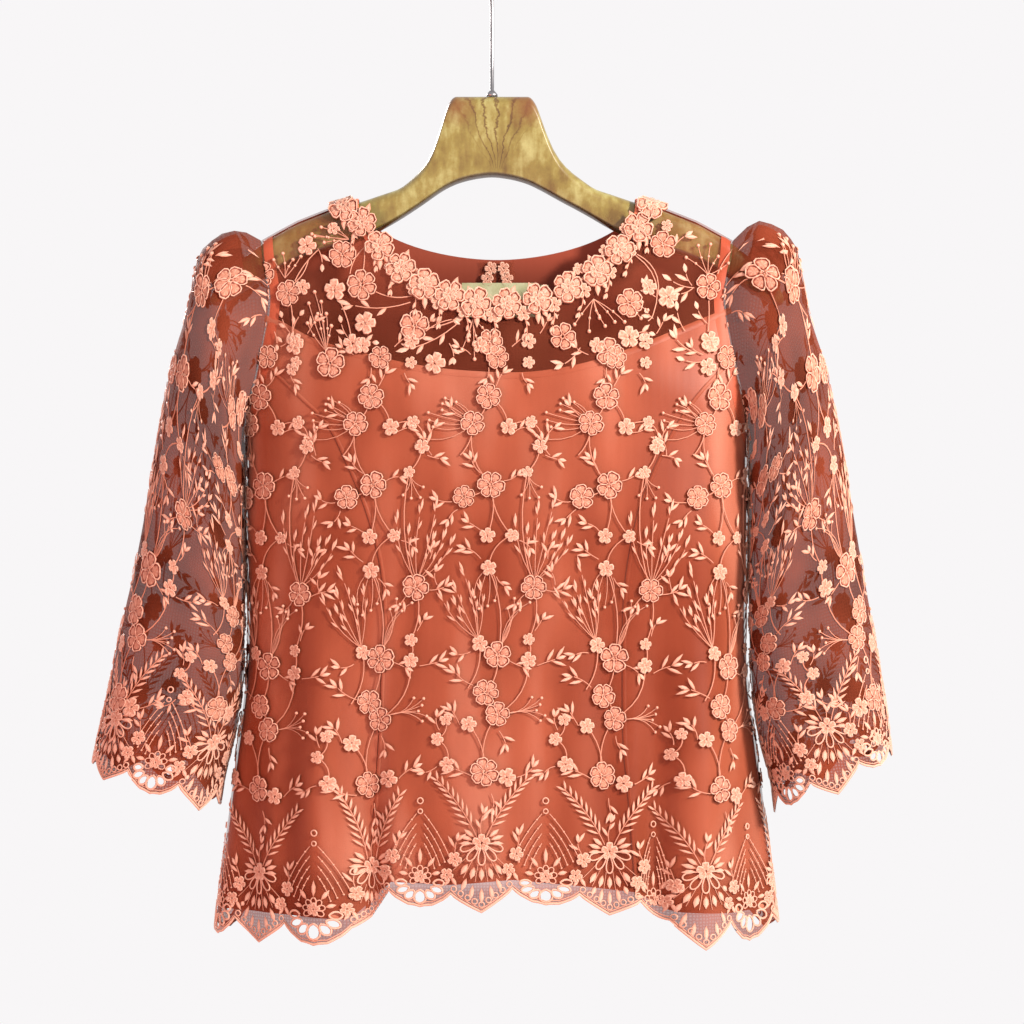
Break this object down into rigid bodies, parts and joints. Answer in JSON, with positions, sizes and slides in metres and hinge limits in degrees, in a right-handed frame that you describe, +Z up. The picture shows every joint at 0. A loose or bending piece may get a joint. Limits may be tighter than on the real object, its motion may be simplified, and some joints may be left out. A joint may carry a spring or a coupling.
{
  "type": "lace blouse on a hanger",
  "caption": "Coral lace blouse with a scalloped hem and long sheer sleeves over a satin lining, hung flat on a wide wooden hanger with a steel hook.",
  "frame": {"origin": "inside top of the hanger's hook, where it sits on a rail", "axes": "+Z up, -Y out of the blouse's front, +X to the wearer's left"},
  "size_m": [0.6361, 0.1463, 0.8057],
  "materials": {
    "lace": "embroidered net",
    "lining": "satin",
    "sleeve_net": "sheer embroidered net",
    "neck_trim": "thick embroidered flowers",
    "label": "woven tape",
    "hanger_wood": "glossy lacquer, marbled gold",
    "hook_steel": "satin"
  },
  "bodies": {
    "root": {"lace_front_centre": "lace", "lace_side_front_left": "lace", "lace_side_front_right": "lace", "lace_back_left": "lace", "lace_back_right": "lace", "back_facing_left": "lace", "back_facing_right": "lace", "lining_front_centre": "lining", "lining_side_front_left": "lining", "lining_side_front_right": "lining", "lining_back_left": "lining", "lining_back_right": "lining", "sleeve_head_left": "lining", "sleeve_head_right": "lining", "sleeve_left_front": "sleeve_net", "sleeve_left_back": "sleeve_net", "sleeve_right_front": "sleeve_net", "sleeve_right_back": "sleeve_net", "neck_trim": "neck_trim", "label": "label", "size_tag": "label", "hanger": "hanger_wood", "hanger_hook": "hook_steel"}
  },
  "joints": []
}
